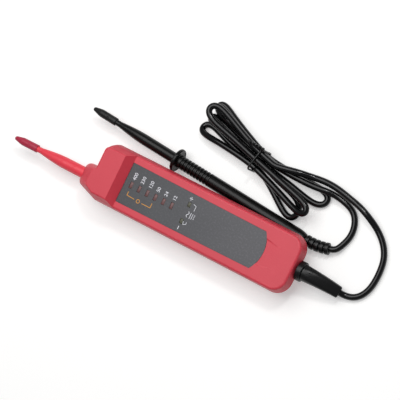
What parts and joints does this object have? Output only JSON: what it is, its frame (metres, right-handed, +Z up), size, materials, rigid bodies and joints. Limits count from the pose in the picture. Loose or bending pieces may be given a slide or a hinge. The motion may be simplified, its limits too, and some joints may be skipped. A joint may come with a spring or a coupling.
{
  "type": "voltage tester",
  "caption": "Handheld two-pole voltage tester with a fixed probe, a second probe on a lead tied in a hank, light windows and lift-off tip caps.",
  "frame": {"origin": "middle of the flat back that the tester lies on", "axes": "+X along the housing towards the fixed probe's tip, +Y across it away from the second probe, +Z up out of the display face"},
  "size_m": [0.2531, 0.0899, 0.0255],
  "materials": {
    "red_shell": "satin",
    "red_sleeve": "satin",
    "red_cap": "semi-gloss",
    "label_grey": "fine grain",
    "window_clear": "translucent",
    "window_olive": "translucent",
    "seal_grey": "matt",
    "screw_steel": "zinc plated",
    "shield_black": "matt",
    "board_green": "satin",
    "light_body": "matt",
    "resistor_blue": "lacquer",
    "thermistor_orange": "lacquer",
    "chip_black": "matt",
    "capacitor_blue": "sleeve",
    "wire_red": "satin",
    "wire_black": "satin",
    "tip_metal": "nickel plated",
    "crimp_metal": "tinned",
    "black_plastic": "satin",
    "black_rubber": "semi-gloss",
    "cord_rubber": "glossy",
    "tie_plastic": "matt"
  },
  "bodies": {
    "tester": {"upper_shell": "red_shell", "lower_shell": "red_shell", "shell_seals": "seal_grey", "case_screws": "screw_steel", "face_label": "label_grey", "voltage_lenses": "window_clear", "polarity_lenses": "window_olive", "light_shield": "shield_black", "circuit_board": "board_green", "voltage_leds": "light_body", "polarity_leds": "light_body", "input_resistors": "resistor_blue", "thermistors": "thermistor_orange", "bridge_diodes": "chip_black", "capacitor": "capacitor_blue", "controller_chip": "chip_black", "live_wire": "wire_red", "return_wire": "wire_black", "live_probe_sleeve": "red_sleeve", "live_probe_rod": "tip_metal", "cord_gland": "black_rubber", "second_probe_sleeve": "black_plastic", "second_probe_rod": "tip_metal", "second_probe_handle": "black_plastic", "probe_crimp": "crimp_metal", "probe_inner_wire": "wire_black", "second_probe_boot": "black_rubber", "lead_body_run": "cord_rubber", "lead_hank": "cord_rubber", "lead_probe_run": "cord_rubber", "twist_tie": "tie_plastic"},
    "live_cap": {"live_tip_cap": "red_cap"},
    "second_cap": {"second_tip_cap": "black_rubber"}
  },
  "joints": [
    {"name": "live_cap_pull", "type": "slide", "parent": "tester", "child": "live_cap", "axis": [1, 0, 0], "range_m": [0, 0.02]},
    {"name": "second_cap_pull", "type": "slide", "parent": "tester", "child": "second_cap", "axis": [0.9955, -0.0876, 0.0366], "range_m": [0, 0.02]}
  ]
}
